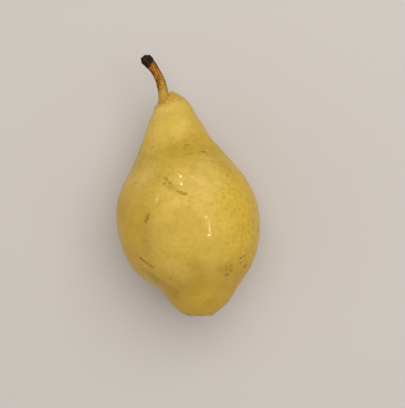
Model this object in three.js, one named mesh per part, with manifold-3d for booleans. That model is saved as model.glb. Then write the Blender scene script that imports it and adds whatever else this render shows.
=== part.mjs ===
// A ripe yellow pear lying on its side, with its woody stem and the dried calyx in its eye.
// Millimetres, +Z up. +Y runs along the pear from the eye to the stem, and +X is its right side seen
// from above.
// The origin is on the surface that the pear rests on, under the middle of its bounding box.

import * as THREE from "three";
import { mergeVertices } from "three/addons/utils/BufferGeometryUtils.js";
import Module from "manifold-3d";

// Driving dimensions

const BELLY_RADIUS = 35;      // half of the greatest width across the pear
const LEAN_DEG = 5;           // the neck hangs this much lower than the belly
const PRESS_DEPTH = 0.55;     // how far the ripe flesh is flattened where the pear rests
const AROUND = 64;            // sides round the pear
const RINGS_PER_SPAN = 3;     // rings between two points of the skin's outline

// The skin's outline, as [radius, distance along the pear]: from the floor of the eye basin,
// over the nose, the belly and the neck, to the lip of the puckered collar round the stem.
const SKIN_OUTLINE = [
  [0, 4.8],                   // floor of the eye basin
  [3.0, 4.3],
  [4.8, 2.0],                 // wall of the basin
  [6.4, 0.4],                 // crest of the nose
  [8.8, 1.4],
  [12.2, 4.9],
  [16.2, 9.6],
  [21.2, 15.2],               // the nose runs out into the belly
  [26.2, 20.6],
  [30.3, 27.0],
  [33.4, 35.0],
  [34.9, 44.0],
  [BELLY_RADIUS, 50.0],       // the belly's widest ring
  [33.7, 58.0],
  [30.3, 66.0],
  [25.3, 73.6],
  [20.2, 80.8],
  [16.6, 87.6],               // waist between belly and neck
  [14.0, 94.0],
  [10.8, 99.6],
  [8.0, 104.2],
  [6.4, 106.0],               // shoulder of the neck
  [5.2, 106.9],
  [4.2, 107.3],               // crest of the collar
  [3.4, 107.1],               // lip of the socket
];
const COLLAR_TOP = 107.1;
const COLLAR_FROM = 104.8;
const COLLAR_WRINKLES = 9;
const COLLAR_WRINKLE_HEIGHT = 0.2;

// The socket in the flesh that the stem stands in
const SOCKET_RADIUS = 2.85;
const SOCKET_DEPTH = 6;
const SOCKET_LIP = 0.6;

// Broad swells (height above 0) and hollows (below 0) of the skin. `along` is the distance from the
// nose, `around` the angle from the top towards the right side, and `length` and `width` are the
// distance and the angle at which a swell has died away to about a third.
const SWELLS = [
  { along: 15, around: 265, height: -2.1, length: 7.5, width: 55 },  // hollow left of the nose
  { along: 6.5, around: 265, height: 1.4, length: 5, width: 50 },    // full left corner of the nose
  { along: 14, around: 10, height: -1.0, length: 6, width: 60 },     // hollow above the nose
  { along: 16, around: 95, height: 0.5, length: 7, width: 50 },      // full right side of the nose
  { along: 0, around: 95, height: -2.2, length: 6, width: 50 },      // the nose falls away to the right
  { along: 88, around: 15, height: -0.7, length: 7, width: 45 },     // hollow on top of the waist
  { along: 99, around: 20, height: 0.6, length: 7, width: 45 },      // full top of the neck
  { along: 103.5, around: 268, height: 2.2, length: 4.5, width: 42 },  // full shoulder left of the stem
  { along: 104.5, around: 92, height: 0.6, length: 3.5, width: 45 },   // and right of it
  { along: 80, around: 92, height: 0.7, length: 5, width: 35 },      // full right side of the waist
  { along: 83, around: 268, height: 0.8, length: 10, width: 42 },    // full left side of the waist
  { along: 66, around: 130, height: 0.7, length: 16, width: 50 },    // full right shoulder, underneath
  { along: 46, around: 250, height: -0.8, length: 22, width: 35 },   // slightly flat left flank
  { along: 40, around: 30, height: 0.5, length: 20, width: 40 },     // full top of the belly
];
const SWELLS_BEGIN = 4.8;     // radius below which there are no swells, as in the eye basin
const SWELLS_FULL = 8.5;

// The nose's end stands further out on its right side.
const NOSE_SLOPE = { right: 0.13, end: 14 };
// The middle of the pear wanders off its straight axis. The nose leans right, but its very end with
// the eye sits less far right. At the neck, the collar and the socket sit left of and above the middle.
const NOSE_SHIFT = 2.4;
const NOSE_BEND_END = 60;
const EYE_SEAT = { left: 1.2, innerRadius: 8, outerRadius: 14 };
const STEM_SEAT = { left: 3.3, up: 1.6, innerRadius: 4.4, outerRadius: 11 };
// The neck's end is cut obliquely: its right and lower sides stand further out.
const NECK_SLOPE = { right: 0.42, left: 0.3, down: 0.34, from: 97, to: 107 };
// The flesh stands up beside the stem, to its right.
const MOUND = { right: 3, height: 3.4, reach: 4.4, from: 103.5, to: 106.6 };

// The stem, as [radius, distance from its root], from its root to its cut end
const STEM_OUTLINE = [
  [2.45, 0],                  // fleshy foot in the socket
  [2.45, 5.5],
  [2.45, 8.5],
  [2.4, 11],
  [2.35, 14],
  [2.25, 16.5],
  [2.2, 19.5],
  [2.3, 21.9],
  [2.6, 24.4],                // swollen knob where it parted from the twig
  [2.7, 26.1],
  [2.4, 27.5],
  [1.4, 28.3],
  [0, 28.4],
];
const STEM_LENGTH = 28.4;
const STEM_AROUND = 16;
const STEM_RINGS_PER_SPAN = 3;
const STEM_FOOT_GAP = 1.2;      // the socket's floor slopes as the neck's end does
const STEM_BEND = { from: 9.1, left: 7.4, up: 1.4, power: 2.2 };

// The dried calyx: five sepals that curl out of a small cup, round a tuft of withered stamens
const CALYX_GAP = 0.4;        // between the cup and the floor of the eye basin
const CUP = { radius: 2.3, mouthRadius: 1.9, height: 1.1, sides: 15 };
const SEPALS = 5;
const SEPAL = { width: 2.7, thickness: 0.7, stations: 8 };
// A sepal's midline, as [distance from the calyx's middle, height above the cup's foot]
const SEPAL_LINE = [[0.9, 0.5], [2.4, 0.75], [3.5, 1.7], [4.3, 3.0], [4.5, 4.0]];
const STAMENS = {
  count: 7,
  rootRadius: 0.42,
  tipRadius: 0.16,
  length: 2.6,
  ring: 0.8,
  lean: 0.3,
  sides: 5,
};

// Helpers

const radians = THREE.MathUtils.degToRad;
const smooth = THREE.MathUtils.smoothstep;

/** The signed difference of two angles in degrees, from -180 to 180. */
function turnBetween(a, b) {
  return THREE.MathUtils.euclideanModulo(a - b + 180, 360) - 180;
}

/** A bell curve that is 1 at zero and about a third at one reach. */
function bell(distance, reach) {
  return Math.exp(-((distance / reach) ** 2));
}

/** Points of a smooth outline through [radius, along] pairs. */
function outline(pairs, perSpan) {
  const curve = new THREE.SplineCurve(pairs.map(([r, y]) => new THREE.Vector2(r, y)));
  return curve.getPoints((pairs.length - 1) * perSpan);
}

/** Moves every vertex of a geometry by a function that changes the vector it is given. */
function reshape(geometry, move) {
  const position = geometry.getAttribute("position");
  const v = new THREE.Vector3();
  for (let i = 0; i < position.count; i++) {
    v.fromBufferAttribute(position, i);
    move(v);
    position.setXYZ(i, v.x, v.y, v.z);
  }
  return geometry;
}

/** The geometry with shared vertices and nothing but positions. */
function closed(geometry) {
  geometry.deleteAttribute("normal");
  geometry.deleteAttribute("uv");
  return mergeVertices(geometry, 1e-4);
}

/** A named piece of the pear with its own colour. */
function piece(name, geometry, color, roughness) {
  const shape = closed(geometry);
  shape.computeVertexNormals();
  const material = new THREE.MeshStandardMaterial({ color, roughness, metalness: 0 });
  const made = new THREE.Mesh(shape, material);
  made.name = name;
  return made;
}

// The fruit

/** Carries a point of the straight, turned shape onto the pear's own crooked line. */
function settleOnLine(v) {
  const along = v.y;
  const radius = Math.hypot(v.x, v.z);
  const atNeckEnd = along > NECK_SLOPE.from ? 1 : 0;
  const seat = atNeckEnd * (1 - smooth(radius, STEM_SEAT.innerRadius, STEM_SEAT.outerRadius));
  const atNose = along < NOSE_BEND_END ? 1 : 0;
  const eye = atNose * (1 - smooth(radius, EYE_SEAT.innerRadius, EYE_SEAT.outerRadius));
  const slope = smooth(along, NECK_SLOPE.from, NECK_SLOPE.to);
  const nose = Math.max(0, 1 - along / NOSE_BEND_END);
  const fromMound = Math.hypot(v.x - MOUND.right, v.z);
  const mound = smooth(along, MOUND.from, MOUND.to) * bell(fromMound, MOUND.reach);
  const sideways = (v.x > 0 ? NECK_SLOPE.right : NECK_SLOPE.left) * v.x;
  v.y += slope * (sideways - NECK_SLOPE.down * v.z) + MOUND.height * mound;
  v.y -= NOSE_SLOPE.right * v.x * (1 - smooth(along, 0, NOSE_SLOPE.end));
  v.x += NOSE_SHIFT * nose - EYE_SEAT.left * eye - STEM_SEAT.left * seat;
  v.z += STEM_SEAT.up * seat;
}

/** How far the skin stands off the plain turned shape. */
function swelling(along, around) {
  let height = 0;
  for (const s of SWELLS) {
    height += s.height * bell(along - s.along, s.length) * bell(turnBetween(around, s.around), s.width);
  }
  return height;
}

function fruitGeometry() {
  const skin = outline(SKIN_OUTLINE, RINGS_PER_SPAN);
  const socketFloor = COLLAR_TOP - SOCKET_DEPTH;
  const rings = [
    ...skin,
    new THREE.Vector2(SOCKET_RADIUS, COLLAR_TOP - SOCKET_LIP),
    new THREE.Vector2(SOCKET_RADIUS, socketFloor),
    new THREE.Vector2(0, socketFloor),
  ];
  return reshape(new THREE.LatheGeometry(rings, AROUND), (v) => {
    const radius = Math.hypot(v.x, v.z);
    const angle = Math.atan2(v.x, v.z);
    const inSocket = v.y > NECK_SLOPE.from && radius < SOCKET_RADIUS + 0.01;
    if (radius > 0.01 && !inSocket) {
      const gathered = COLLAR_WRINKLE_HEIGHT * smooth(v.y, COLLAR_FROM, COLLAR_TOP);
      const wrinkle = gathered * Math.cos(COLLAR_WRINKLES * angle);
      const grownIn = smooth(radius, SWELLS_BEGIN, SWELLS_FULL);
      const swell = grownIn * swelling(v.y, THREE.MathUtils.radToDeg(angle));
      const grown = 1 + (swell + wrinkle) / radius;
      v.x *= grown;
      v.z *= grown;
    }
    settleOnLine(v);
  });
}

// The stem

function stemGeometry() {
  const length = STEM_LENGTH;
  const side = outline(STEM_OUTLINE, STEM_RINGS_PER_SPAN);
  const turned = new THREE.LatheGeometry([new THREE.Vector2(0, 0), ...side], STEM_AROUND);
  const foot = new THREE.Vector3(0, COLLAR_TOP - SOCKET_DEPTH, 0);
  settleOnLine(foot);
  foot.y += STEM_FOOT_GAP;
  // The stem's middle line goes straight out of the socket, then swings left and a little up.
  const middle = (t) => {
    const swing = (Math.max(0, t - STEM_BEND.from) / (length - STEM_BEND.from)) ** STEM_BEND.power;
    return new THREE.Vector3(-STEM_BEND.left * swing, t, STEM_BEND.up * swing).add(foot);
  };
  const straight = new THREE.Vector3(0, 1, 0);
  const turn = new THREE.Quaternion();
  return reshape(turned, (v) => {
    const t = v.y;
    const direction = middle(t + 0.1).sub(middle(t)).normalize();
    turn.setFromUnitVectors(straight, direction);
    v.y = 0;
    v.applyQuaternion(turn).add(middle(t));
  });
}

// The calyx

const wasm = await Module();
wasm.setup();

/** A closed geometry as a solid that can be joined. */
function solid(geometry) {
  const shape = closed(geometry);
  return new wasm.Manifold(new wasm.Mesh({
    numProp: 3,
    vertProperties: new Float32Array(shape.getAttribute("position").array),
    triVerts: new Uint32Array(shape.index.array),
  }));
}

function geometryOf(joined) {
  const { vertProperties, triVerts } = joined.getMesh();
  const geometry = new THREE.BufferGeometry();
  geometry.setAttribute("position", new THREE.BufferAttribute(new Float32Array(vertProperties), 3));
  geometry.setIndex(new THREE.BufferAttribute(new Uint32Array(triVerts), 1));
  return geometry;
}

/** A sepal that points along +X and rises along +Y, before it is turned to its place round the cup. */
function sepalSolid() {
  const edge = (t) => (SEPAL.width / 2) * (1 - t) ** 0.6 * (0.75 + t) + 0.15;
  const stations = Array.from({ length: SEPAL.stations + 1 }, (_, i) => i / SEPAL.stations);
  const outlinePoints = [
    ...stations.map((t) => new THREE.Vector2(t, -edge(t))),
    ...stations.toReversed().map((t) => new THREE.Vector2(t, edge(t))),
  ];
  const leaf = new THREE.Shape(outlinePoints);
  const blade = new THREE.ExtrudeGeometry(leaf, { depth: SEPAL.thickness, bevelEnabled: false });
  const line = new THREE.SplineCurve(SEPAL_LINE.map(([out, rise]) => new THREE.Vector2(out, rise)));
  return solid(reshape(blade, (v) => {
    const point = line.getPoint(v.x);
    const along = line.getTangent(v.x);
    v.set(point.x - along.y * v.z, point.y + along.x * v.z, -v.y);
  }));
}

/** A withered stamen that stands on the cup and leans out along +X. */
function stamenSolid() {
  const { rootRadius, tipRadius, length, sides, ring, lean } = STAMENS;
  const filament = new THREE.CylinderGeometry(tipRadius, rootRadius, length, sides);
  filament.rotateZ(-lean).translate(ring, CUP.height + length * 0.35, 0);
  return solid(filament);
}

function calyxGeometry() {
  const cup = new THREE.CylinderGeometry(CUP.mouthRadius, CUP.radius, CUP.height, CUP.sides);
  cup.translate(0, CUP.height / 2, 0);
  let calyx = solid(cup);
  const sepal = sepalSolid();
  for (let i = 0; i < SEPALS; i++) {
    calyx = calyx.add(sepal.rotate([0, (360 * i) / SEPALS, 0]));
  }
  const stamen = stamenSolid();
  for (let i = 0; i < STAMENS.count; i++) {
    calyx = calyx.add(stamen.rotate([0, (360 * i) / STAMENS.count, 0]));
  }
  const floor = new THREE.Vector3(0, SKIN_OUTLINE[0][1], 0);
  settleOnLine(floor);
  const geometry = geometryOf(calyx);
  geometry.rotateX(Math.PI).rotateZ(-Math.atan(NOSE_SLOPE.right));
  return geometry.translate(floor.x, floor.y - CALYX_GAP, floor.z);
}

// The pear on its side

const pear = new THREE.Group();
const fruit = piece("fruit", fruitGeometry(), 0xcfa84d, 0.42);
const stem = piece("stem", stemGeometry(), 0x8f6226, 0.7);
const calyx = piece("calyx", calyxGeometry(), 0x4a3220, 0.85);
pear.add(fruit, stem, calyx);
pear.rotation.x = -radians(LEAN_DEG);
pear.updateMatrixWorld(true);

// The pear is let down until the flesh is pressed flat to its depth, in world space.
const lowest = new THREE.Box3().setFromObject(fruit, true).min.z;
pear.position.z = -lowest - PRESS_DEPTH;
pear.updateMatrixWorld(true);
reshape(fruit.geometry, (v) => {
  fruit.localToWorld(v);
  v.z = Math.max(0, v.z);
  fruit.worldToLocal(v);
});

const middle = new THREE.Box3().setFromObject(pear, true).getCenter(new THREE.Vector3());
pear.position.x -= middle.x;
pear.position.y -= middle.y;

const part = new THREE.Group();
part.add(pear);

export default part;
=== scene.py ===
# %% [markdown]
# # A ripe yellow pear, lying on its side
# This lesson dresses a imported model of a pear. The model already has three closed solids: the fruit, its woody
# stem and the dried calyx in its eye. They carry the weight and the collisions. Here each of them gets a finer
# shape and a real skin, bark or dry leaf, and stays exactly where the solid was.

# %% Load the frame
import math
import random

import bmesh
import bpy
from mathutils import Matrix, Vector, noise
from mathutils.bvhtree import BVHTree


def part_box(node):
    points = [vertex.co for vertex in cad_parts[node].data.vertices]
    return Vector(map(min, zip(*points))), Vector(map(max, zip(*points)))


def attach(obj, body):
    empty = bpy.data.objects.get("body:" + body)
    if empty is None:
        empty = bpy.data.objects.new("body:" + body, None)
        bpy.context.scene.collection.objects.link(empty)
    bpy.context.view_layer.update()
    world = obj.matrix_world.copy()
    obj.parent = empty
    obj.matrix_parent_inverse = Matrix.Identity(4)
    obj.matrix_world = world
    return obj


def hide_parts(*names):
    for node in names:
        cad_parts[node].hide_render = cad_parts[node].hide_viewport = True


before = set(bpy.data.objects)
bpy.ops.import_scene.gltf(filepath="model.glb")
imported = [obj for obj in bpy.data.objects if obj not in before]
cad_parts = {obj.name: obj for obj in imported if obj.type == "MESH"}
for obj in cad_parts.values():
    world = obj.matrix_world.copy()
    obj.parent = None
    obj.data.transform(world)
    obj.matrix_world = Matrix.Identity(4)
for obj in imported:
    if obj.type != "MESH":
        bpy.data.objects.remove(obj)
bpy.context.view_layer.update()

print("solids:", sorted(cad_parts))

# %% [markdown]
# ## Where the camera stands
# The pear is seen from straight above, from a little over half a metre. A lens that close makes the belly look
# a touch larger than the neck, so the distance matters as much as the framing. The camera is turned a few
# degrees about its own line of sight, which tilts the pear to the left in the picture. Working the lens out from
# the width that it has to cover at the belly keeps the numbers readable: nothing is found by trial.

# %% Camera
MM = 0.001
CAMERA_HEIGHT = 535 * MM
BELLY_HEIGHT = 35 * MM
COVERED = 200.5 * MM       # long side of the picture, measured at the belly's height
FROM_NOSE = 54.9 * MM      # how far past the tip of the nose the camera looks straight down
FROM_MIDDLE = 8.0 * MM     # and how far to the right of the fruit's middle
ROLL = math.radians(7.5)

camera_data = bpy.data.cameras.new("camera")
camera_data.sensor_width = 36
camera_data.lens = camera_data.sensor_width * (CAMERA_HEIGHT - BELLY_HEIGHT) / COVERED
camera_data.clip_start = 0.01
camera = bpy.data.objects.new("camera", camera_data)
fruit_low, fruit_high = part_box("fruit")
fruit_middle = (fruit_low.x + fruit_high.x) / 2
camera.location = (fruit_middle + FROM_MIDDLE, fruit_low.y + FROM_NOSE, CAMERA_HEIGHT)
camera.rotation_euler = (0, 0, -ROLL)
bpy.context.scene.collection.objects.link(camera)
bpy.context.scene.camera = camera
bpy.context.scene.view_settings.view_transform = "Standard"
print("lens:", round(camera_data.lens, 1), "mm")

# %% [markdown]
# ## Shader maths that reads like maths
# A procedural skin is mostly arithmetic: masks, distances and mixes. Adding every Math node by hand hides that,
# so a small class wraps a socket and overloads the operators. Writing `1 - mask` then adds one Subtract node.
# Every other kind of node comes from a single method, which takes the node's type, its settings and its inputs.

# %% A value in a material
class Value:
    """An output socket of a material's node tree. Arithmetic on it adds Math nodes."""

    def __init__(self, socket):
        self.socket = socket
        self.tree = socket.id_data

    def math(self, operation, *given):
        node = self.tree.nodes.new("ShaderNodeMath")
        node.operation = operation
        for socket, value in zip(node.inputs, given):
            feed(socket, value)
        return Value(node.outputs[0])

    def __add__(self, other):
        return self.math("ADD", self, other)

    def __sub__(self, other):
        return self.math("SUBTRACT", self, other)

    def __rsub__(self, other):
        return self.math("SUBTRACT", other, self)

    def __mul__(self, other):
        return self.math("MULTIPLY", self, other)

    __radd__ = __add__
    __rmul__ = __mul__


def feed(socket, value):
    """Links a Value to an input socket, or sets the socket to a plain number or colour."""
    if isinstance(value, Value):
        value.tree.links.new(value.socket, socket)
    else:
        socket.default_value = value


# %% A material with one shader
def colour(hex_code):
    """A colour as screens write it, as the linear values that shaders work in."""
    parts = [int(hex_code[i:i + 2], 16) / 255 for i in (0, 2, 4)]
    linear = [c / 12.92 if c <= 0.04045 else ((c + 0.055) / 1.055) ** 2.4 for c in parts]
    return (*linear, 1.0)


def socket_name(word):
    """The name of a shader's socket, from an argument such as base_color or coat_ior."""
    return word.replace("_", " ").title().replace("Ior", "IOR")


class Finish:
    """A material, its one shader, and the nodes that feed it."""

    def __init__(self, name, **fixed):
        self.material = bpy.data.materials.new(name)
        self.material.use_nodes = True
        self.tree = self.material.node_tree
        self.shader = self.tree.nodes["Principled BSDF"]
        self.set(**fixed)

    def set(self, **values):
        """Sets sockets of the shader to plain numbers, or links them to Values."""
        for word, value in values.items():
            feed(self.shader.inputs[socket_name(word)], value)

    def node(self, kind, settings=None, inputs=None, output=0):
        """A new node: its settings are made first, then its sockets are fed."""
        node = self.tree.nodes.new(kind)
        for name, value in (settings or {}).items():
            if name == "stops":
                ramp = node.color_ramp
                while len(ramp.elements) < len(value):
                    ramp.elements.new(1.0)
                for element, (place, shade) in zip(ramp.elements, value):
                    element.position = place
                    element.color = shade
            else:
                setattr(node, name, value)
        for name, value in (inputs or {}).items():
            feed(node.inputs[name], value)
        return Value(node.outputs[output])

    def place(self):
        """Where a point of the piece is, in metres."""
        return self.node("ShaderNodeTexCoord", output="Object")

    def carried(self, name):
        """A vector that the mesh carries on its points."""
        return self.node("ShaderNodeAttribute", {"attribute_name": name}, output="Vector")

    def split(self, vector):
        """The three numbers of a vector."""
        node = self.tree.nodes.new("ShaderNodeSeparateXYZ")
        feed(node.inputs[0], vector)
        return [Value(socket) for socket in node.outputs]

    def noise(self, place, size, detail=2.0, roughness=0.5, stretch=None):
        """Soft blotches about `size` metres across."""
        if stretch:
            place = self.node("ShaderNodeMapping", inputs={"Vector": place, "Scale": stretch})
        inputs = {"Vector": place, "Scale": 1 / size, "Detail": detail, "Roughness": roughness}
        return self.node("ShaderNodeTexNoise", inputs=inputs)

    def cells(self, place, size, output="Distance"):
        """The distance to the middle of the nearest of many cells, in cell sizes, or the cell's own colour."""
        return self.node("ShaderNodeTexVoronoi", inputs={"Vector": place, "Scale": 1 / size}, output=output)

    def dots(self, place, size, edge, middle):
        """A round dot in each cell, growing from nothing at `edge` to full at `middle`, in metres."""
        return self.fade(self.cells(place, size) * size, edge, middle)

    def distance(self, place, point):
        """How far a place is from a fixed point, in metres."""
        inputs = {0: place, 1: point}
        return self.node("ShaderNodeVectorMath", {"operation": "DISTANCE"}, inputs, output="Value")

    def fade(self, value, start, end, low=0.0, high=1.0):
        """A smooth step from low to high as the value goes from start to end."""
        inputs = {"Value": value, "From Min": start, "From Max": end, "To Min": low, "To Max": high}
        return self.node("ShaderNodeMapRange", {"interpolation_type": "SMOOTHSTEP"}, inputs)

    def band(self, value, middle, reach):
        """1 at the middle, falling to 0 one reach away on either side."""
        away = value.math("ABSOLUTE", value - middle)
        return self.fade(away, 0.0, reach, 1.0, 0.0)

    def mix(self, factor, first, second):
        """The first colour where the factor is 0, the second where it is 1."""
        return self.node("ShaderNodeMix", {"data_type": "RGBA"}, {0: factor, 6: first, 7: second}, output=2)

    def ramp(self, value, *stops):
        """A colour for each value, from stops of (value, hex code)."""
        stops = [(place, colour(hex_code)) for place, hex_code in stops]
        return self.node("ShaderNodeValToRGB", {"stops": stops}, {"Fac": value})

    def tinted(self, ground, mask, strength, hex_code):
        """A ground colour with another one laid over it where the mask is."""
        return self.mix(mask * strength, ground, colour(hex_code))

    def bump(self, height_mm):
        """A normal from a height in millimetres."""
        return self.node("ShaderNodeBump", inputs={"Height": height_mm, "Distance": MM, "Strength": 1.0})


# %% [markdown]
# ## Floor and light
# The stage is a plain pale floor under soft light, so nothing competes with the skin. A large lamp overhead, a
# little towards the stem, shades the nose darker than the neck, and a weak one fills in from the left. Wax also
# mirrors every lamp, and a large one would lie on the skin as a grey veil. So the two soft lamps are hidden from
# mirroring, and seven others are only mirrored: a faint sheen, and small ones that give the short streaks and
# glints that tell the eye that the skin is waxy.

# %% Floor
FLOOR_REACH = 3.0            # in metres
FLOOR_BLOTCH = 0.6

floor_finish = Finish("stage_floor", roughness=0.55)
floor_tone = floor_finish.noise(floor_finish.place(), FLOOR_BLOTCH)
floor_finish.set(base_color=floor_finish.mix(floor_tone, colour("CEC8C3"), colour("D2CCC7")))

bm = bmesh.new()
bmesh.ops.create_grid(bm, x_segments=1, y_segments=1, size=FLOOR_REACH)
floor_mesh = bpy.data.meshes.new("stage_floor")
bm.to_mesh(floor_mesh)
bm.free()
floor = bpy.data.objects.new("stage_floor", floor_mesh)
floor_mesh.materials.append(floor_finish.material)
bpy.context.scene.collection.objects.link(floor)
print("floor:", 2 * FLOOR_REACH, "m wide")

# %% Lamps
LIT_POINT = Vector((0, -12 * MM, 40 * MM))
WARM = "FFF2C0"
SOFT_LAMPS = [       # name, direction from the pear, distance, width, depth, power, colour
    ("key", (0.2, 0.26, 0.94), 1.3, 1.4, 1.4, 13.8, "FFFDFA"),
    ("fill", (-0.75, -0.1, 0.65), 1.6, 1.0, 1.0, 1.8, "F8F9FF"),
]
MIRRORED_LAMPS = [   # the same, and how many degrees it is rolled
    ("sheen", (0.42, 0.72, 0.55), 1.2, 0.9, 0.6, 1.6, "FFFFFF", 0),
    ("streak_right", (0.46, -0.13, 0.86), 1.2, 0.026, 0.34, 1.5, WARM, -8),
    ("streak_left", (-0.62, 0.53, 0.58), 1.2, 0.013, 0.36, 0.5, WARM, 0),
    ("top_glint", (-0.01, 0.93, 0.36), 1.2, 0.05, 0.07, 0.5, WARM, 0),
    ("top_glint_low", (-0.02, 0.84, 0.54), 1.2, 0.04, 0.05, 0.4, WARM, 0),
    ("side_glint", (0.26, 0.89, 0.38), 1.2, 0.025, 0.10, 0.22, WARM, 0),
    ("middle_glint", (-0.17, 0.43, 0.89), 1.2, 0.05, 0.05, 0.2, WARM, 0),
]


def lamp(name, towards, distance, width, depth, power, tint, roll=0):
    """A soft rectangular lamp in a direction from the pear. It faces the pear, with its depth along it."""
    data = bpy.data.lights.new(name, "AREA")
    data.shape = "RECTANGLE"
    data.size = width
    data.size_y = depth
    data.energy = power
    data.color = colour(tint)[:3]
    made = bpy.data.objects.new(name, data)
    back = Vector(towards).normalized()
    side = Vector((0, 1, 0)).cross(back).normalized()
    side.rotate(Matrix.Rotation(math.radians(roll), 3, back))
    made.location = LIT_POINT + back * distance
    made.rotation_euler = Matrix((side, back.cross(side), back)).transposed().to_euler()
    bpy.context.scene.collection.objects.link(made)
    return made


for row in SOFT_LAMPS:
    lamp(*row).visible_glossy = False
for row in MIRRORED_LAMPS:
    lamp(*row).visible_diffuse = False
print("lamps:", len(SOFT_LAMPS), "soft,", len(MIRRORED_LAMPS), "only mirrored")

# %% Light from all round
ROOM_COLOUR, ROOM_STRENGTH = colour("F4F2F0"), 0.42

world = bpy.data.worlds.new("studio")
world.use_nodes = True
background = world.node_tree.nodes["Background"]
background.inputs["Color"].default_value = ROOM_COLOUR
background.inputs["Strength"].default_value = ROOM_STRENGTH
bpy.context.scene.world = world
print("room light:", ROOM_STRENGTH)

# %% [markdown]
# ## The fruit's outline
# A pear grows round a core, so its skin starts as half an outline turned round a line. The outline is a short
# list of measured points, from the floor of the eye basin over the nose, the belly and the neck to the collar
# that hugs the stem. A smooth curve runs through them, and is then cut into equal steps, because even faces
# take later dents and lumps better than faces that bunch up.

# %% Smooth, even outlines
PER_SPAN = 24


def smooth_curve(points):
    """Many points of a smooth curve through a few."""
    last = len(points) - 1
    made = []
    for i in range(last):
        before, start, end, after = (Vector(points[min(max(j, 0), last)]) for j in (i - 1, i, i + 1, i + 2))
        for step in range(PER_SPAN):
            t = step / PER_SPAN
            bend = 2 * before - 5 * start + 4 * end - after + t * (3 * (start - end) + after - before)
            made.append(start + 0.5 * t * (end - before + t * bend))
    made.append(Vector(points[-1]))
    return made


def even_steps(points, spacing):
    """The same curve with its points about `spacing` apart."""
    lengths = [0.0]
    for start, end in zip(points, points[1:]):
        lengths.append(lengths[-1] + (end - start).length)
    count = round(lengths[-1] / spacing)
    made, span = [], 0
    for i in range(count + 1):
        target = lengths[-1] * i / count
        while span < len(points) - 2 and lengths[span + 1] < target:
            span += 1
        part = (target - lengths[span]) / max(lengths[span + 1] - lengths[span], 1e-9)
        made.append(points[span].lerp(points[span + 1], min(part, 1.0)))
    return made


# %% The skin, from the eye to the stem
SKIN_OUTLINE = [   # radius and distance from the nose, in millimetres
    (0, 4.8), (3.0, 4.3), (4.6, 1.8),                                  # floor and wall of the eye basin
    (5.8, 0.4), (7.4, 0.9), (9.6, 2.3), (12.2, 4.9), (16.2, 9.6),      # over the crest of the nose
    (21.2, 15.2), (26.2, 20.6), (30.3, 27.0), (33.4, 35.0),            # out into the belly
    (34.9, 44.0), (35.0, 50.0), (33.7, 58.0), (30.3, 66.0),            # round its widest ring
    (25.3, 73.6), (20.2, 80.8), (16.6, 87.6), (14.0, 94.0),            # in to the waist and the neck
    (10.8, 99.6), (8.0, 104.2), (6.4, 106.0), (5.2, 106.9),            # over the shoulder of the neck
    (4.2, 107.3), (3.4, 107.1), (2.9, 107.0), (2.5, 107.3), (2.0, 107.3), (0, 106.6),   # the collar
]
RING_SPACING = 0.5         # these two give faces of half a millimetre, which the smallest ripples need
AROUND = 300

skin_line = even_steps(smooth_curve(SKIN_OUTLINE), RING_SPACING)
print("rings along the skin:", len(skin_line))

# %% [markdown]
# ## Turning the outline
# The spin operator does what a potter's wheel does: it copies the outline step by step round a line and skins
# the steps with faces. Where the outline touches the line, all the copies land on one point, so doubles are
# merged and the two poles close. The normals are then worked out again, because a spin can leave a shape
# inside out. Everything is shaped in millimetres first, and scaled to metres once, at the end.

# %% Spin
DOUBLES_WITHIN = 1e-4


def spun(outline, steps):
    """A closed shape of an outline of (radius, along) turned round the Y axis."""
    bm = bmesh.new()
    line = [bm.verts.new((0, along, radius)) for radius, along in outline]
    edges = [bm.edges.new(pair) for pair in zip(line, line[1:])]
    bmesh.ops.spin(
        bm, geom=line + edges, cent=(0, 0, 0), axis=(0, 1, 0),
        angle=2 * math.pi, steps=steps, use_merge=True, use_duplicate=False,
    )
    bmesh.ops.remove_doubles(bm, verts=bm.verts, dist=DOUBLES_WITHIN)
    bmesh.ops.recalc_face_normals(bm, faces=bm.faces)
    return bm


fruit = spun(skin_line, AROUND)
straight = fruit.verts.layers.float_vector.new("straight")
for v in fruit.verts:
    v[straight] = v.co * MM
print("fruit:", len(fruit.verts), "points,", len(fruit.faces), "faces")

# %% [markdown]
# ## No pear is round
# Real pears are lopsided. The nose leans to one side, the end of the neck is cut off at a slant, and the stem
# stands left of its middle. The flanks have broad swells and hollows a millimetre or two high. Each swell is a
# bell in two directions, along the pear and round it, which is how a thumb pushes clay.

# %% Swells and the crooked middle line
# distance from the nose, angle from the top to the right, height, and how far it reaches along and round
SWELLS = [
    (15, 265, -2.1, 7.5, 55),      # hollow left of the nose
    (6.5, 265, 1.4, 5, 50),        # full left corner of the nose
    (14, 10, -1.0, 6, 60),         # hollow above the nose
    (16, 95, 0.5, 7, 50),          # full right side of the nose
    (0, 95, -2.2, 6, 50),          # the nose falls away to the right
    (88, 15, -0.7, 7, 45),         # hollow on top of the waist
    (99, 20, 0.6, 7, 45),          # full top of the neck
    (103.5, 268, 2.2, 4.5, 42),    # full shoulder left of the stem
    (104.5, 92, 0.6, 3.5, 45),     # and right of it
    (80, 92, 0.7, 5, 35),          # full sides of the waist
    (83, 268, 0.8, 10, 42),
    (66, 130, 0.7, 16, 50),        # full right shoulder, underneath
    (46, 250, -0.8, 22, 35),       # slightly flat left flank
    (40, 30, 0.5, 20, 40),         # full top of the belly
]
SWELLS_BEGIN, SWELLS_FULL = 4.8, 8.5      # radius at which swells set in
NOSE_SHIFT, NOSE_BEND_END = 2.4, 60
NOSE_SLOPE, NOSE_SLOPE_END = 0.13, 14
EYE_SEAT_LEFT = 1.2
EYE_SEAT_RADII = (8, 14)
STEM_SEAT_LEFT, STEM_SEAT_UP = 3.3, 1.6
STEM_SEAT_RADII = (4.4, 11)
NECK_SLOPE_RIGHT, NECK_SLOPE_LEFT, NECK_SLOPE_DOWN = 0.42, 0.3, 0.34
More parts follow.
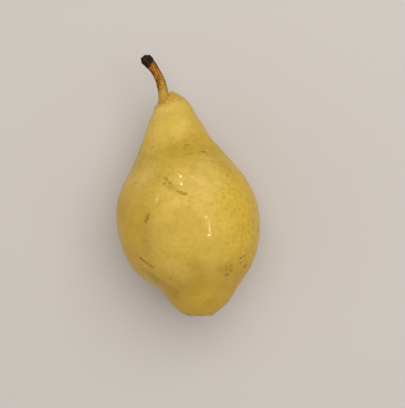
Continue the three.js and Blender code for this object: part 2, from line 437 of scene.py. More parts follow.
NECK_SLOPE_SPAN = (97, 107)
MOUND_RIGHT, MOUND_HEIGHT, MOUND_REACH = 3, 3.4, 4.4        # flesh that stands up right of the stem
MOUND_SPAN = (103.5, 106.6)


def bell(distance, reach):
    """1 at no distance, and about a third one reach away."""
    return math.exp(-((distance / reach) ** 2))


def smoothstep(value, start, end):
    """0 before the start, 1 past the end, and a soft rise between them."""
    t = min(max((value - start) / (end - start), 0.0), 1.0)
    return t * t * (3 - 2 * t)


def turn_between(a, b):
    """The difference of two angles in degrees, from -180 to 180."""
    return (a - b + 180) % 360 - 180


def swelling(along, around):
    """How far all the swells together push the skin out."""
    total = 0.0
    for middle, towards, height, length, width in SWELLS:
        total += height * bell(along - middle, length) * bell(turn_between(around, towards), width)
    return total


def settle(point):
    """Carries a point of the straight, turned shape onto the pear's own crooked line."""
    x, along, z = point
    radius = math.hypot(x, z)
    seat = (1 - smoothstep(radius, *STEM_SEAT_RADII)) if along > NECK_SLOPE_SPAN[0] else 0.0
    eye = (1 - smoothstep(radius, *EYE_SEAT_RADII)) if along < NOSE_BEND_END else 0.0
    slope = smoothstep(along, *NECK_SLOPE_SPAN)
    mound = smoothstep(along, *MOUND_SPAN) * bell(math.hypot(x - MOUND_RIGHT, z), MOUND_REACH)
    sideways = x * (NECK_SLOPE_RIGHT if x > 0 else NECK_SLOPE_LEFT)
    at_nose = 1 - smoothstep(along, 0, NOSE_SLOPE_END)
    nose = max(0.0, 1 - along / NOSE_BEND_END)
    return Vector((
        x + NOSE_SHIFT * nose - EYE_SEAT_LEFT * eye - STEM_SEAT_LEFT * seat,
        along + slope * (sideways - NECK_SLOPE_DOWN * z) + MOUND_HEIGHT * mound - NOSE_SLOPE * x * at_nose,
        z + STEM_SEAT_UP * seat,
    ))


# %% [markdown]
# ## Lobes and wrinkles
# Seen from the end, the nose has five soft lobes, one behind each sepal. Round the foot of the stem the flesh is
# gathered into small wrinkles. Both are waves round the pear, faded in and out along it. The waves of the collar
# are bent by noise, so that no two folds are alike.

# %% Shape the fruit
LOBES, LOBE_HEIGHT, LOBE_MIDDLE, LOBE_REACH = 5, 0.4, 3.0, 7.0
LOBE_RADII = (4.0, 7.0)                   # lobes set in over this radius
NOSE_HALF_END = 40
COLLAR_SPAN = (103.4, 106.6)
COLLAR_RADII = (2.5, 3.5)                 # and so do the folds of the collar
FOLDS = [(9, 0.14, 0.0), (14, 0.084, 1.3)]   # how many round it, height, and turn
FOLD_BEND, FOLD_BEND_SIZE = 0.35, 3.0
BEAD_HEIGHT, BEAD_SIZE = 0.35, 0.9
ON_AXIS = 0.01                            # points nearer than this to the middle line stay there


def collar_folds(along, angle, point):
    """Gathers round the stem's foot."""
    gathered = smoothstep(along, *COLLAR_SPAN)
    if gathered == 0:
        return 0.0
    bent = angle + FOLD_BEND * noise.noise(point / FOLD_BEND_SIZE)
    folds = sum(high * math.cos(count * bent + turn) for count, high, turn in FOLDS)
    beads = max(0.0, noise.noise(point / BEAD_SIZE + Vector((7, 0, 0))))
    return gathered * (folds + BEAD_HEIGHT * beads)


for v in fruit.verts:
    x, along, z = v.co
    radius = math.hypot(x, z)
    angle = math.atan2(x, z)
    if radius > ON_AXIS:
        swell = swelling(along, math.degrees(angle)) * smoothstep(radius, SWELLS_BEGIN, SWELLS_FULL)
        lobe = LOBE_HEIGHT * math.cos(LOBES * angle) * bell(along - LOBE_MIDDLE, LOBE_REACH)
        lobe *= smoothstep(radius, *LOBE_RADII) if along < NOSE_HALF_END else 0.0
        fold = collar_folds(along, angle, v.co) * smoothstep(radius, *COLLAR_RADII)
        grown = 1 + (swell + lobe + fold) / radius
        v.co.x *= grown
        v.co.z *= grown
    v.co = settle(v.co)
sides = [[v.co[axis] for v in fruit.verts] for axis in range(3)]
print("shaped fruit:", [round(max(side) - min(side), 1) for side in sides], "mm")

# %% [markdown]
# ## Lying down
# The pear rests on its belly with the neck leaning down a little. Ripe flesh gives, so it is let down slightly
# into the floor, and what would be below the floor is pressed flat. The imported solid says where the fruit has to
# be: the nose and the middle of its width are lined up with the box of the solid.

# %% Lean, stand and press
LEAN = math.radians(5)
PRESS_DEPTH = 0.55

lean = Matrix.Rotation(-LEAN, 4, "X")
leaning = [lean @ v.co for v in fruit.verts]
shift = Vector((
    fruit_middle / MM - (min(p.x for p in leaning) + max(p.x for p in leaning)) / 2,
    fruit_low.y / MM - min(p.y for p in leaning),
    -min(p.z for p in leaning) - PRESS_DEPTH,
))
stand = Matrix.Translation(shift) @ lean
bmesh.ops.transform(fruit, matrix=stand, verts=fruit.verts)
for v in fruit.verts:
    v.co.z = max(v.co.z, 0.0)
print("the nose's end stands at", [round(c, 2) for c in shift], "mm")

# %% [markdown]
# ## Lumps under the skin
# Under a studio lamp a perfectly smooth pear looks like plastic. Real skin rises and sinks over the grit cells in
# the flesh: wide, shallow lumps, with smaller ones on them. The heights are tiny, a third of a millimetre at
# most, yet they break up every highlight. The smallest ripples could be a bump in the finish, but the coat of wax
# doesn't mirror a bump, and the streaks on it would stay straight. So they are in the mesh too. Noise moves each
# point along its own normal. The flat spot stays flat.

# %% Lumps
LUMPS = [(17.0, 0.26), (7.0, 0.05), (1.3, 0.06)]   # size and height in millimetres
LUMPS_FULL_ABOVE = 4.0                             # height over the floor
fruit.normal_update()
moves = []
for v in fruit.verts:
    height = sum(high * noise.noise(v.co / size) for size, high in LUMPS)
    moves.append(v.normal * height * smoothstep(v.co.z, 0.0, LUMPS_FULL_ABOVE))
for v, move in zip(fruit.verts, moves):
    v.co += move
print("the skin moved by up to", round(max(move.length for move in moves), 2), "mm")

# %% [markdown]
# ## From a shape to a piece
# One function turns every finished shape into an object: it scales it to metres, smooths its shading, gives it
# its finish, hangs it on the body that it rides on and hides the solid that it stands for.

# %% Make a piece
def make_piece(bm, name, node, finish):
    """An object at the origin whose place is in its mesh, standing for one CAD node."""
    bmesh.ops.scale(bm, vec=(MM, MM, MM), verts=bm.verts)
    mesh = bpy.data.meshes.new(name)
    bm.to_mesh(mesh)
    bm.free()
    mesh.shade_smooth()
    mesh.materials.append(finish.material)
    made = bpy.data.objects.new(name, mesh)
    bpy.context.scene.collection.objects.link(made)
    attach(made, "root")
    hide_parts(node)
    triangles = sum(len(p.vertices) - 2 for p in mesh.polygons)
    print(name + ":", triangles, "triangles")
    return made


# %% [markdown]
# ## The skin's ground colours
# A ripe pear is never one yellow. It is paler on the neck, partly its own tone and partly painted light on its
# upturned top, with painted shade down its right side. It is greener at the waist, where the neck widens into the
# belly, and browner round the nose. Both flanks are a deeper gold that is partly painted shade, darker where they
# turn away from the light, and the eye and the collar have tints of their own. The mesh carries the place that
# each point had on the straight shape, so bands along the pear are a matter of one coordinate, and rings round the
# stem and the eye a matter of one distance. Noise bends every edge.

# %% Wax and flesh
skin = Finish(
    "pear_skin", roughness=0.42, specular_ior_level=0.22, coat_roughness=0.07, coat_ior=1.45,
    subsurface_weight=0.08, subsurface_scale=0.004, subsurface_radius=(1.0, 0.7, 0.25),
)
at = skin.place()
unbent = skin.carried("straight")
right, along, _ = skin.split(unbent)
wide_blotches = skin.noise(at, 0.026, detail=3)
blotches = skin.noise(at, 0.009, detail=3)
mottle = skin.noise(at, 0.0026, detail=3, roughness=0.6)
wavy_along = along + (wide_blotches - 0.5) * 0.012 + (blotches - 0.5) * 0.004

# %% Neck, waist and nose
ground = skin.ramp(wide_blotches * 0.7 + blotches * 0.3, (0.36, "CEAA42"), (0.5, "DDB950"), (0.64, "E4C462"))
neck = skin.fade(wavy_along, 0.0850, 0.0892)
waist = skin.band(wavy_along, 0.079, 0.011)
nose = skin.fade(wavy_along, 0.026, 0.010)
# Painted shade down the right side of the neck, which leaves its lit top pale.
neck_right_painted_shade = skin.fade(right, 0.004, 0.011) * skin.fade(wavy_along, 0.080, 0.090)
# The paler neck is partly its own tone and partly painted light on its upturned top.
ground = skin.tinted(ground, neck, 0.45, "DEBE56")
ground = skin.tinted(ground, waist, 0.5, "B29414")
ground = skin.tinted(ground, nose, 0.5, "B88C14")
ground = skin.tinted(ground, neck_right_painted_shade, 0.35, "C09A2C")
print("from neck to nose:", len(skin.tree.nodes), "nodes")

# %% Collar and eye
STEM_FOOT = (0.0015, 0.1071, 0.0)      # both are places on the straight shape, in metres
EYE_MIDDLE = (0.0, 0.003, 0.0)

from_foot = skin.distance(unbent, STEM_FOOT) + (blotches - 0.5) * 0.003
from_eye = skin.distance(unbent, EYE_MIDDLE) + (blotches - 0.5) * 0.002
collar = skin.fade(from_foot, 0.0088, 0.0052)
basin = skin.fade(from_eye, 0.0062, 0.0042)
russet = skin.fade(mottle, 0.46, 0.56) * skin.fade(from_eye, 0.0105, 0.0066)
ground = skin.tinted(ground, collar, 0.8, "BC8E20")
ground = skin.tinted(ground, basin, 0.6, "8E7A1C")
ground = skin.tinted(ground, russet, 0.34, "966A1E")

# %% Flanks and mottling
off_neck = 1 - neck * 0.5
# Both flanks get a deeper gold that is partly painted shade, darker where the sides turn away from the light.
shaded_left_flank = skin.fade(right, -0.012, -0.032) * off_neck
shaded_right_flank = skin.fade(right, 0.008, 0.030) * off_neck
shaded_flanks = shaded_left_flank + shaded_right_flank
# Painted shade on the left of the belly.
left_belly_painted_shade = skin.band(right, -0.018, 0.013) * skin.band(wavy_along, 0.046, 0.030)
speckled = 0.5 + skin.fade(right, 0.006, 0.024) * 0.5 + waist * 0.5
ground = skin.tinted(ground, shaded_left_flank, 0.6, "CCA206")
ground = skin.tinted(ground, shaded_right_flank, 0.7, "DCB10E")
ground = skin.tinted(ground, left_belly_painted_shade, 0.36, "B2852A")
ground = skin.tinted(ground, skin.fade(mottle, 0.42, 0.68) * speckled, 0.34, "A4840C")
print("all ground colours:", len(skin.tree.nodes), "nodes")

# %% [markdown]
# ## Lenticels
# The fine dots on a pear are pores that the skin breathes through. They lie a millimetre or two apart, each in
# its own little cell, which is just what a cell texture gives. The distance from the middle of a cell draws the
# dot, and the cell's own random colour decides how large and how dark it is, so a few stay almost unseen.

# %% Pores
def pores(size, radius, share):
    """A mask of small round dots, in a share of the cells."""
    luck, largeness, _ = skin.split(skin.cells(at, size, output="Color"))
    reach = radius * (0.6 + largeness * 0.8)
    chosen = skin.fade(luck, share + 0.1, share)
    return skin.dots(at, size, reach, reach * 0.5) * chosen


fine_pores = pores(0.0015, 0.00040, 0.75)
large_pores = pores(0.0046, 0.00060, 0.5)
ground = skin.tinted(ground, fine_pores * speckled, 0.45, "B49200")
ground = skin.tinted(ground, large_pores * speckled, 0.40, "A88000")
print("with pores:", len(skin.tree.nodes), "nodes")

# %% [markdown]
# ## Bruises, scuffs and scratches
# What makes this one pear and no other are its marks: two green scuffs side by side on the belly, an orange
# scratch on the left, a brown tick where the neck begins, and specks near the nose. A few wide, faint ones are
# tones that no rule gives, such as the greener right shoulder, and a few are painted shade: down the left of the
# belly and of the nose, and a painted shadow along the nose's end. Each mark is given as it is seen from above,
# and a ray dropped on the mesh finds how high the skin is there. A Mapping node centres, turns and stretches the
# distance to it, and noise frays its edge.

# %% Where the marks are
ABOVE_ALL = 200              # a height over the pear, in millimetres
fruit_tree = BVHTree.FromBMesh(fruit)


def on_skin(x, from_nose):
    """The point of the skin straight under a place seen from above, in metres."""
    hit = fruit_tree.ray_cast(Vector((x, fruit_low.y / MM + from_nose, ABOVE_ALL)), Vector((0, 0, -1)))[0]
    return hit * MM


MARKS = [   # to the right, from the nose, length, width, turn in degrees, colour, strength, depth in millimetres
    (-10.8, 70.2, 2.4, 1.0, 10, "A87A2A", 0.50, 0.0),     # upper scuff
    (-7.7, 69.0, 3.4, 1.7, -30, "A88620", 0.90, 0.0),
    (-6.7, 67.8, 3.2, 1.6, -60, "A68220", 0.90, 0.0),
    (-5.6, 66.5, 3.2, 2.0, -50, "A68220", 0.90, -0.04),
    (-8.4, 66.5, 3.0, 1.7, 10, "AA8622", 0.80, 0.0),
    (-5.3, 64.7, 6.4, 3.8, -15, "AE9020", 0.85, 0.0),
    (-2.7, 62.4, 3.0, 1.4, -25, "B08C30", 0.85, 0.0),     # lower scuff
    (-1.1, 61.4, 3.2, 1.5, -28, "A48024", 0.90, -0.05),
    (0.7, 60.5, 2.2, 1.4, -10, "9C7620", 0.90, -0.05),
    (2.1, 57.0, 1.6, 1.3, 0, "B08C34", 0.55, 0.0),        # faint spots below it
    (1.7, 54.3, 1.8, 1.3, 0, "B08C34", 0.60, 0.0),
    (1.1, 51.8, 1.5, 1.2, 0, "B08C34", 0.50, 0.0),
    (-4.2, 57.6, 6.0, 4.2, 60, "E4CA7C", 0.45, 0.0),      # pale patch
    (11.6, 79.5, 3.4, 0.9, -12, "6A400E", 0.95, -0.12),   # brown tick
    (4.2, 83.8, 2.6, 1.0, -15, "8A7220", 0.75, 0.0),      # green flecks beside it
    (3.0, 82.2, 2.2, 1.0, 5, "8A7220", 0.6, 0.0),
    (4.8, 79.4, 4.6, 1.0, 0, "947E18", 0.6, 0.0),
    (3.6, 86.4, 1.6, 1.0, -40, "947E18", 0.5, 0.0),
    (-18.5, 51.4, 5.6, 2.3, 62, "8E601C", 0.90, -0.04),   # brown scuff on the left flank
    (-22.1, 31.4, 10.5, 1.2, -42, "A2661A", 0.85, -0.08), # orange scratch
    (-23.8, 33.4, 3.0, 0.9, -48, "8A5012", 0.6, -0.06),
    (-19.8, 29.6, 3.6, 1.6, -35, "A07A2C", 0.6, 0.0),
    (15.2, 23.4, 1.1, 1.0, 0, "6E3008", 1.0, -0.06),      # specks near the nose
    (15.0, 20.4, 2.2, 1.2, 10, "7A5212", 0.90, -0.05),
    (17.3, 21.8, 1.6, 1.1, 30, "86601A", 0.75, 0.0),
    (17.3, 24.7, 1.4, 1.0, 20, "8E6A18", 0.75, 0.0),
    (15.1, 24.9, 1.0, 0.9, 0, "8E6A18", 0.60, 0.0),
    (22.5, 27.2, 1.1, 1.0, 0, "6B4512", 0.95, -0.05),
    (23.8, 27.9, 1.4, 1.0, 20, "7A5214", 0.85, -0.05),
    (22.1, 25.3, 1.1, 0.9, 0, "8A6418", 0.75, 0.0),
    (24.3, 23.0, 2.1, 1.3, 30, "7E5410", 0.90, -0.05),
    (-11.4, 22.2, 1.5, 1.1, 0, "8A6418", 0.80, -0.04),
    (-9.6, 15.1, 1.2, 1.0, 30, "84581A", 0.85, -0.04),
    (-10.4, 13.3, 1.3, 1.0, 0, "84581A", 0.85, 0.0),
    (-12.0, 85.2, 2.4, 0.8, 20, "8A7426", 0.6, 0.0),
    (15.7, 16.5, 3.2, 2.4, 0, "C4A668", 0.50, 0.0),       # pale, watery spot
    (16.0, 24.0, 10.0, 8.0, 20, "B48C26", 0.30, 0.0),     # browner patch round the specks
    (1.0, 27.5, 16.0, 5.5, 0, "B38A34", 0.35, 0.0),       # and one above the nose
    (5.0, 8.0, 13.0, 7.0, 10, "B89010", 0.50, 0.0),       # yellower patch on the nose
    (-12.5, 21.0, 11.0, 7.0, -40, "DCAA3C", 0.45, 0.0),   # lighter left
    (18.4, 18.5, 10.0, 7.0, -50, "DCAE3E", 0.35, 0.0),    # and right of it
    (1.0, 1.0, 14.0, 1.8, 0, "A8781E", 0.50, 0.0),        # painted shadow: a darker orange line along its end, at the rim
    (-19.8, 24.0, 18.0, 6.6, -42, "9A8034", 0.55, 0.0),   # painted shade, olive, down the left of the nose
    (-11.5, 13.5, 12.0, 6.0, -50, "A88634", 0.30, 0.0),
    (17.5, 76.0, 14.0, 9.0, -45, "B4921C", 0.35, 0.0),    # greener shoulder on the right
    (21.5, 69.5, 17.0, 11.0, -50, "B88C0C", 0.40, 0.0),   # and browner below it
    (-12.0, 69.5, 20.0, 12.0, 42, "BC9614", 0.60, 0.0),   # painted shade, a deeper gold, above the upper scuff
    (-20.3, 40.5, 18.0, 8.0, 85, "A7893B", 0.40, 0.0),    # and painted shade down the left flank
    (-8.0, 46.8, 1.2, 0.9, 0, "A07A28", 0.5, 0.0),
    (-22.0, 68.8, 1.2, 0.9, 0, "8A6A22", 0.6, 0.0),
    (18.0, 58.8, 1.0, 0.8, 0, "A08420", 0.4, 0.0),
    (8.0, 33.8, 1.0, 0.9, 0, "9A7526", 0.45, 0.0),
]
SPECK_CLUSTERS = [(16.1, 22.6, 3.8), (23.0, 25.8, 3.6), (-9.5, 13.5, 4.0)]   # to the right, from the nose, reach

# %% Draw the marks
FRAY_SIZE, FRAY = 0.0018, 3.0
MARK_FADES_OUT = 1.4          # this many half lengths from its middle
MARK_HEIGHT = 3               # a mark reaches at least this far up and down a slope
MARK_HEIGHT_PER_WIDTH = 0.6

fray = (skin.noise(at, FRAY_SIZE, detail=4, roughness=0.8) - 0.5) * FRAY
mark_depth = 0.0
for x, from_nose, length, width, turn, tint, strength, depth in MARKS:
    inputs = {0: at, 1: on_skin(x, from_nose)}
    centred = skin.node("ShaderNodeVectorMath", {"operation": "SUBTRACT"}, inputs)
    tall = max(MARK_HEIGHT, width * MARK_HEIGHT_PER_WIDTH)
    scale = (length * MM / 2, width * MM / 2, tall * MM)
    inputs = {"Vector": centred, "Rotation": (0, 0, math.radians(turn)), "Scale": scale}
    turned = skin.node("ShaderNodeMapping", {"vector_type": "TEXTURE"}, inputs)
    away = skin.node("ShaderNodeVectorMath", {"operation": "LENGTH"}, {0: turned}, output="Value")
    mark = skin.fade(away + fray, 0.0, MARK_FADES_OUT, 1.0, 0.0)
    ground = skin.tinted(ground, mark, strength, tint)
    if depth:
        mark_depth = mark * depth + mark_depth
print("marks:", len(MARKS))

# %% Crowds of specks
specks = pores(0.0010, 0.00028, 0.6)
for x, from_nose, reach in SPECK_CLUSTERS:
    crowd = skin.fade(skin.distance(at, on_skin(x, from_nose)), reach * MM, reach * MM * 0.5)
    ground = skin.tinted(ground, crowd * specks, 0.6, "7E5A10")

# %% [markdown]
# ## Wax and fine grain
# The skin has a thin natural wax. A coat over a duller ground gives that: the ground stays soft, and the coat
# mirrors the small lamps crisply where it is thick. It is worn thin in blotches, and thinner on the neck, the nose
# and the flanks. The grain is a height in millimetres, so the bump has a real size: pores and some of the marks
# sink a little, between them the skin is finely pebbled, and round the stem's foot it stands up in small beads.
# Their pale tint is partly painted highlight, the sparkle of light on the beads.

# %% Sheen and grain
pebbles = skin.noise(at, 0.0009, detail=2)
dimples = skin.noise(at, 0.0032, detail=2)
beads = skin.dots(at, 0.0014, 0.0006, 0.0002) * skin.fade(from_foot, 0.0092, 0.0078)
# The pale dots on the beads are partly painted highlight, the sparkle of light on them.
ground = skin.tinted(ground, beads, 0.7, "EACB74")
sunken = fine_pores * 0.012 + large_pores * 0.02
grain = pebbles * 0.008 + dimples * 0.045 - sunken + mark_depth + beads * 0.16
waxy = skin.fade(along, 0.070, 0.084, 1.0, 0.1) * skin.fade(along, 0.010, 0.030, 0.25, 1.0)
worn = skin.fade(blotches, 0.4, 0.62)
skin.set(
    base_color=ground,
    roughness=0.40 + mottle * 0.14 + large_pores * 0.1,
    coat_weight=(0.36 + worn * 0.3) * waxy * (1 - shaded_flanks * 0.5) + collar * 0.5,
    normal=skin.bump(grain),
)
make_piece(fruit, "pear_fruit", "fruit", skin)

# %% [markdown]
# ## The stem
# The stem is a thin woody stalk, swollen into a knob where it broke off its twig. It is spun straight first,
# with the same steps as the fruit, and given ridges that run along it. Then each ring is moved and turned onto a
# curved middle line. Bending last keeps the ridges in place, and the mesh remembers the straight shape, so the
# bark can be drawn along it.

# %% Stem outline
SOCKET_DEPTH = 6
COLLAR_TOP = 107.1
STEM_LENGTH = 28.4
STEM_OUTLINE = [   # radius and distance from its foot, which is hidden in the collar
    (0, 0), (2.4, 0.05), (2.6, 3.0), (2.72, 5.5), (2.6, 8.5), (2.45, 11), (2.38, 14), (2.27, 16.5),
    (2.2, 19.5), (2.3, 21.9), (2.6, 24.2), (2.75, 25.9), (2.5, 27.4), (1.7, 28.2), (0.9, 28.3), (0, 28.0),
]
STEM_SPACING, STEM_AROUND = 0.22, 72

stem = spun(even_steps(smooth_curve(STEM_OUTLINE), STEM_SPACING), STEM_AROUND)
grown_straight = stem.verts.layers.float_vector.new("straight")
print("stem:", len(stem.faces), "faces")

# %% Ridges, fibres and lumps
RIDGES = [(3, 0.07, 0.4), (5, 0.07, 1.1), (8, 0.04, 2.0)]   # how many round it, height, and turn
RIDGE_TWIST = 0.02                                          # radians for each millimetre along
FIBRES_LONGER = 0.35                                        # the noise is squeezed along the stem to this
KNOB_SPAN, KNOB_END_SPAN = (23.0, 25.0), (27.0, 28.2)
FOOT_MIDDLE, FOOT_REACH, FOOT_FOLDS = 5.5, 3.2, 7
BARK_RADII = (0.2, 1.6)                                     # bark sets in over this radius

for v in stem.verts:
    x, t, z = v.co
    v[grown_straight] = v.co * MM
    radius = math.hypot(x, z)
    angle = math.atan2(x, z) + RIDGE_TWIST * t
    ridge = sum(high * math.cos(count * angle + turn) for count, high, turn in RIDGES)
    fibre = 0.10 * noise.noise(Vector((x, t * FIBRES_LONGER, z)) / 0.7) + 0.06 * noise.noise(v.co / 0.35)
    knob = smoothstep(t, *KNOB_SPAN)
    lumps = knob * (0.42 * noise.noise(v.co / 1.7 + Vector((3, 1, 0))) + 0.16 * noise.noise(v.co / 0.6))
    foot = bell(t - FOOT_MIDDLE, FOOT_REACH)
    lumps += foot * (0.16 * math.cos(FOOT_FOLDS * angle) + 0.5 * max(0.0, noise.noise(v.co / 0.8)))
    if radius > ON_AXIS:
        grown = 1 + (ridge + fibre + lumps) * smoothstep(radius, *BARK_RADII) / radius
        v.co.x *= grown
        v.co.z *= grown
    v.co.y += lumps * smoothstep(t, *KNOB_END_SPAN)
print("widest ring:", round(max(2 * math.hypot(v.co.x, v.co.z) for v in stem.verts), 1), "mm across")

# %% Bend the stem
STEM_FOOT_GAP = 1.2
STEM_SWING_FROM = 9.1
STEM_SWING_LEFT, STEM_SWING_UP, STEM_SWING_POWER = 7.4, 1.4, 2.2
SHORT_STEP = 0.1            # to find the direction of the middle line

stem_foot = settle((0, COLLAR_TOP - SOCKET_DEPTH, 0)) + Vector((0, STEM_FOOT_GAP, 0))


def stem_middle(t):
    """The stem's middle line: straight out of the collar, then swinging left and a little up."""
    swing = (max(0.0, t - STEM_SWING_FROM) / (STEM_LENGTH - STEM_SWING_FROM)) ** STEM_SWING_POWER
    return stem_foot + Vector((-STEM_SWING_LEFT * swing, t, STEM_SWING_UP * swing))


for v in stem.verts:
    x, t, z = v.co
    direction = stem_middle(t + SHORT_STEP) - stem_middle(t)
    turn = Vector((0, 1, 0)).rotation_difference(direction)
    v.co = turn @ Vector((x, 0, z)) + stem_middle(t)
bmesh.ops.transform(stem, matrix=stand, verts=stem.verts)
print("the stem ends at", [round(c, 1) for c in stand @ stem_middle(STEM_LENGTH)], "mm")

# %% [markdown]
# ## Bark
# At its foot the stem is still fleshy and yellow, with the same small beads as the collar, whose pale tint is
# partly painted highlight. Higher up it turns to orange brown bark with fine cracks along it, darker on the left,
# with rusty flecks and mossy ones and a painted shade down its right edge, and the broken knob is nearly black.
# The edge of the black runs at a slant. All of it is drawn on the straight shape that the mesh carries, stretched
# along the stem so that the fibres run that way.

# %% Fibres and flecks
bark = Finish("stem_bark", roughness=0.72, specular_ior_level=0.16)
on_stem = bark.carried("straight")
across, length, _ = bark.split(on_stem)
fibres = bark.noise(on_stem, 0.0007, detail=4, roughness=0.6, stretch=(1, 0.16, 1))
flecks = bark.noise(on_stem, 0.0011, detail=4, roughness=0.75)
patches = bark.noise(on_stem, 0.004, detail=2)
ragged = (patches - 0.5) * 0.004 + (flecks - 0.5) * 0.0016

# %% Bark colours
wood = bark.ramp(fibres, (0.34, "5E3408"), (0.5, "9C6414"), (0.66, "C08C30"))
yellow = bark.fade(length - across * 0.9 + ragged * 1.6, 0.0185, 0.0100)
left_side = bark.fade(across + ragged * 0.3, 0.0002, -0.0018)
rusty = bark.fade(flecks - left_side * 0.06, 0.47, 0.39) * bark.fade(length, 0.007, 0.011)
mossy = bark.fade(flecks, 0.53, 0.61) * bark.fade(length, 0.022, 0.016)
# Painted shade: a dark line down the stem's right edge.
right_edge_painted_shade = bark.fade(across, 0.0015, 0.0022) * bark.fade(length, 0.010, 0.014)
wood = bark.mix(yellow * 0.85, wood, bark.ramp(flecks, (0.35, "A27A22"), (0.6, "C79E3C")))
wood = bark.tinted(wood, left_side * bark.fade(length, 0.009, 0.013), 0.5, "6A4014")
wood = bark.tinted(wood, rusty, 0.75, "6E380C")
wood = bark.tinted(wood, mossy, 0.75, "C8A850")
wood = bark.tinted(wood, right_edge_painted_shade, 0.55, "5A4426")
print("bark:", len(bark.tree.nodes), "nodes")

# %% Fleshy foot and black end
fleshy = bark.fade(length + ragged * 0.8, 0.0112, 0.0085)
black = bark.fade(length - across * 0.25 + ragged * 0.5, 0.0236, 0.0244)
charred = bark.ramp(flecks, (0.4, "140A04"), (0.6, "3A2616"), (0.7, "6A5A48"))
foot_beads_and_painted_glints = bark.dots(on_stem, 0.0013, 0.0006, 0.0002) * fleshy
wood = bark.tinted(wood, fleshy, 0.85, "BE9632")
wood = bark.mix(black, wood, charred)
# The pale dots on the beads are partly painted highlight, the sparkle of light on them.
wood = bark.tinted(wood, foot_beads_and_painted_glints, 0.6, "E0BE60")
cracks = fibres * 0.16 * (1 - fleshy) + flecks * 0.10 * (0.4 + black)
bark.set(base_color=wood, roughness=0.62 + fibres * 0.25, normal=bark.bump(cracks + foot_beads_and_painted_glints * 0.16))
make_piece(stem, "pear_stem", "stem", bark)

# %% [markdown]
# ## The dried calyx
# Opposite the stem, in the eye, sit the remains of the flower: five dry, pointed sepals on a small cup, round a
# dark tuft of withered stamens. A sepal starts as a flat grid. Its width is pinched into a leaf, it is curled
# along a curve, cupped, crumpled and twisted by its own random amount, and then given a wall. The stamens are
# thin spun threads with a swollen tip, each bent its own way.

# %% Sepals
SEPALS, SEPAL_WIDTH, SEPAL_WALL = 5, 3.0, 0.22
SEPAL_LINE = [(0.9, 0.5), (2.4, 0.75), (3.5, 1.7), (4.3, 3.0), (4.5, 4.0)]   # out of the cup, and up
SEPAL_SPACING = 0.05
HALF_TIP = 0.1                # half the width of its tip
TIP_BLUNTNESS = 0.8           # 1 would be a straight point, and less is blunter
CUPPING, CRUMPLING = 0.35, 0.28

random.seed(11)
sepal_curve = even_steps(smooth_curve(SEPAL_LINE), SEPAL_SPACING)
calyx = bmesh.new()


def sepal(turn):
    """One dry, curled sepal at an angle round the cup."""
    grid = bmesh.ops.create_grid(calyx, x_segments=18, y_segments=8, size=0.5)
    twist = random.uniform(-0.5, 0.5)
    crimp = random.uniform(0, 6)
    last = len(sepal_curve) - 1
    for v in grid["verts"]:
        t, side = v.co.x + 0.5, v.co.y * 2       # t goes from foot to tip, side from -1 to 1 across
        half = SEPAL_WIDTH / 2 * (1 - t) ** TIP_BLUNTNESS * (0.8 + 1.1 * t) + HALF_TIP
        point = sepal_curve[min(int(t * last), last)]
        cup = CUPPING * side * side * (1 - 0.4 * t)
        crumple = CRUMPLING * math.sin(9 * t + crimp + 1.5 * side) * t
        roll = twist * t
        y = half * side * math.cos(roll)
        z = point.y + cup + crumple + half * side * math.sin(roll)
        v.co = Vector((point.x - cup * 0.3, y, z))
    bmesh.ops.rotate(calyx, verts=grid["verts"], cent=(0, 0, 0), matrix=Matrix.Rotation(turn, 3, "Z"))


for i in range(SEPALS):
    sepal(2 * math.pi * i / SEPALS + random.uniform(-0.12, 0.12))
bmesh.ops.recalc_face_normals(calyx, faces=calyx.faces)
bmesh.ops.solidify(calyx, geom=calyx.faces, thickness=SEPAL_WALL)
print("sepals:", len(calyx.faces), "faces")

# %% Cup and stamens
CUP_OUTLINE = [(0, -0.25), (1.6, -0.1), (2.3, 0.3), (2.2, 0.9), (1.9, 1.25), (1.3, 1.0), (0, 0.7)]
CUP_AROUND, CUP_SPACING = 40, 0.2
CUP_LUMP_HEIGHT, CUP_LUMP_SIZE = 0.12, 0.8
STAMENS, STAMEN_AROUND, STAMEN_SPACING = 14, 8, 0.16
STAMEN_FOOT_HEIGHT = 0.7


def add_spun(outline, steps, spacing):
    """Spins an outline into the calyx with its line along Z, and gives back its points."""
    part = spun(even_steps(smooth_curve(outline), spacing), steps)
    bmesh.ops.rotate(part, verts=part.verts, cent=(0, 0, 0), matrix=Matrix.Rotation(math.pi / 2, 3, "X"))
    mesh = bpy.data.meshes.new("part")
    part.to_mesh(mesh)
    part.free()
    before = len(calyx.verts)
    calyx.from_mesh(mesh)
    bpy.data.meshes.remove(mesh)
    calyx.verts.ensure_lookup_table()
    return calyx.verts[before:]


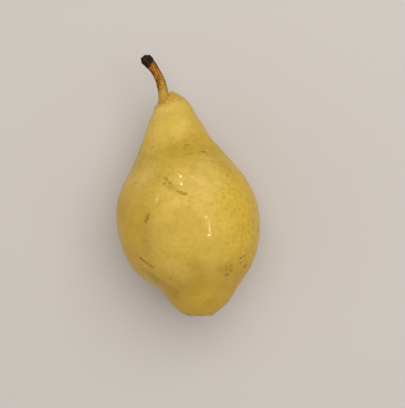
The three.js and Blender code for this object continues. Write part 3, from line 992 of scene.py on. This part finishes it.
for v in add_spun(CUP_OUTLINE, CUP_AROUND, CUP_SPACING):
    v.co += v.co.normalized() * CUP_LUMP_HEIGHT * noise.noise(v.co / CUP_LUMP_SIZE)
for i in range(STAMENS):
    turn = 2 * math.pi * i / STAMENS + random.uniform(-0.2, 0.2)
    out = random.uniform(0.5, 1.4)
    tall = random.uniform(2.0, 3.2)
    lean_out = random.uniform(0.1, 0.7)
    curl = random.uniform(-0.5, 0.5)
    thread = [(0, 0), (0.13, 0.02), (0.09, tall * 0.6), (0.09, tall * 0.85), (0.2, tall * 0.93), (0, tall)]
    for v in add_spun(thread, STAMEN_AROUND, STAMEN_SPACING):
        t = v.co.z / tall
        v.co += Vector((out + lean_out * t * t * tall * 0.6, curl * t * t, STAMEN_FOOT_HEIGHT))
        v.co.rotate(Matrix.Rotation(turn, 3, "Z"))
print("calyx:", len(calyx.faces), "faces")

# %% Set the calyx in the eye
EYE_DEPTH = 4.8
CALYX_GAP = 0.1

eye = settle((0, EYE_DEPTH, 0)) - Vector((0, CALYX_GAP, 0))
face_out = Matrix.Rotation(-math.atan(NOSE_SLOPE), 4, "Z") @ Matrix.Rotation(math.pi / 2, 4, "X")
set_in_eye = stand @ Matrix.Translation(eye) @ face_out
bmesh.ops.transform(calyx, matrix=set_in_eye, verts=calyx.verts)
print("the cup sits at", [round(c, 1) for c in set_in_eye.translation], "mm")

# %% Dry finish
TUFT_HEIGHT = 2.5             # the middle of the dark tuft, over the cup

dry = Finish("dry_calyx", roughness=0.85)
at_calyx = dry.place()
veins = dry.noise(at_calyx, 0.0006, detail=4, roughness=0.65)
burnt = dry.noise(at_calyx, 0.0022, detail=2)
from_tuft = dry.distance(at_calyx, set_in_eye @ Vector((0, 0, TUFT_HEIGHT)) * MM)
leaf = dry.ramp(veins, (0.34, "3C2817"), (0.5, "735639"), (0.66, "B0946A"))
leaf = dry.tinted(leaf, dry.fade(burnt, 0.45, 0.65), 0.45, "2A1A0E")
leaf = dry.tinted(leaf, dry.fade(from_tuft, 0.0034, 0.0014), 0.7, "1C120B")
dry.set(base_color=leaf, roughness=0.75 + veins * 0.2, normal=dry.bump(veins * 0.25))
make_piece(calyx, "pear_calyx", "calyx", dry)
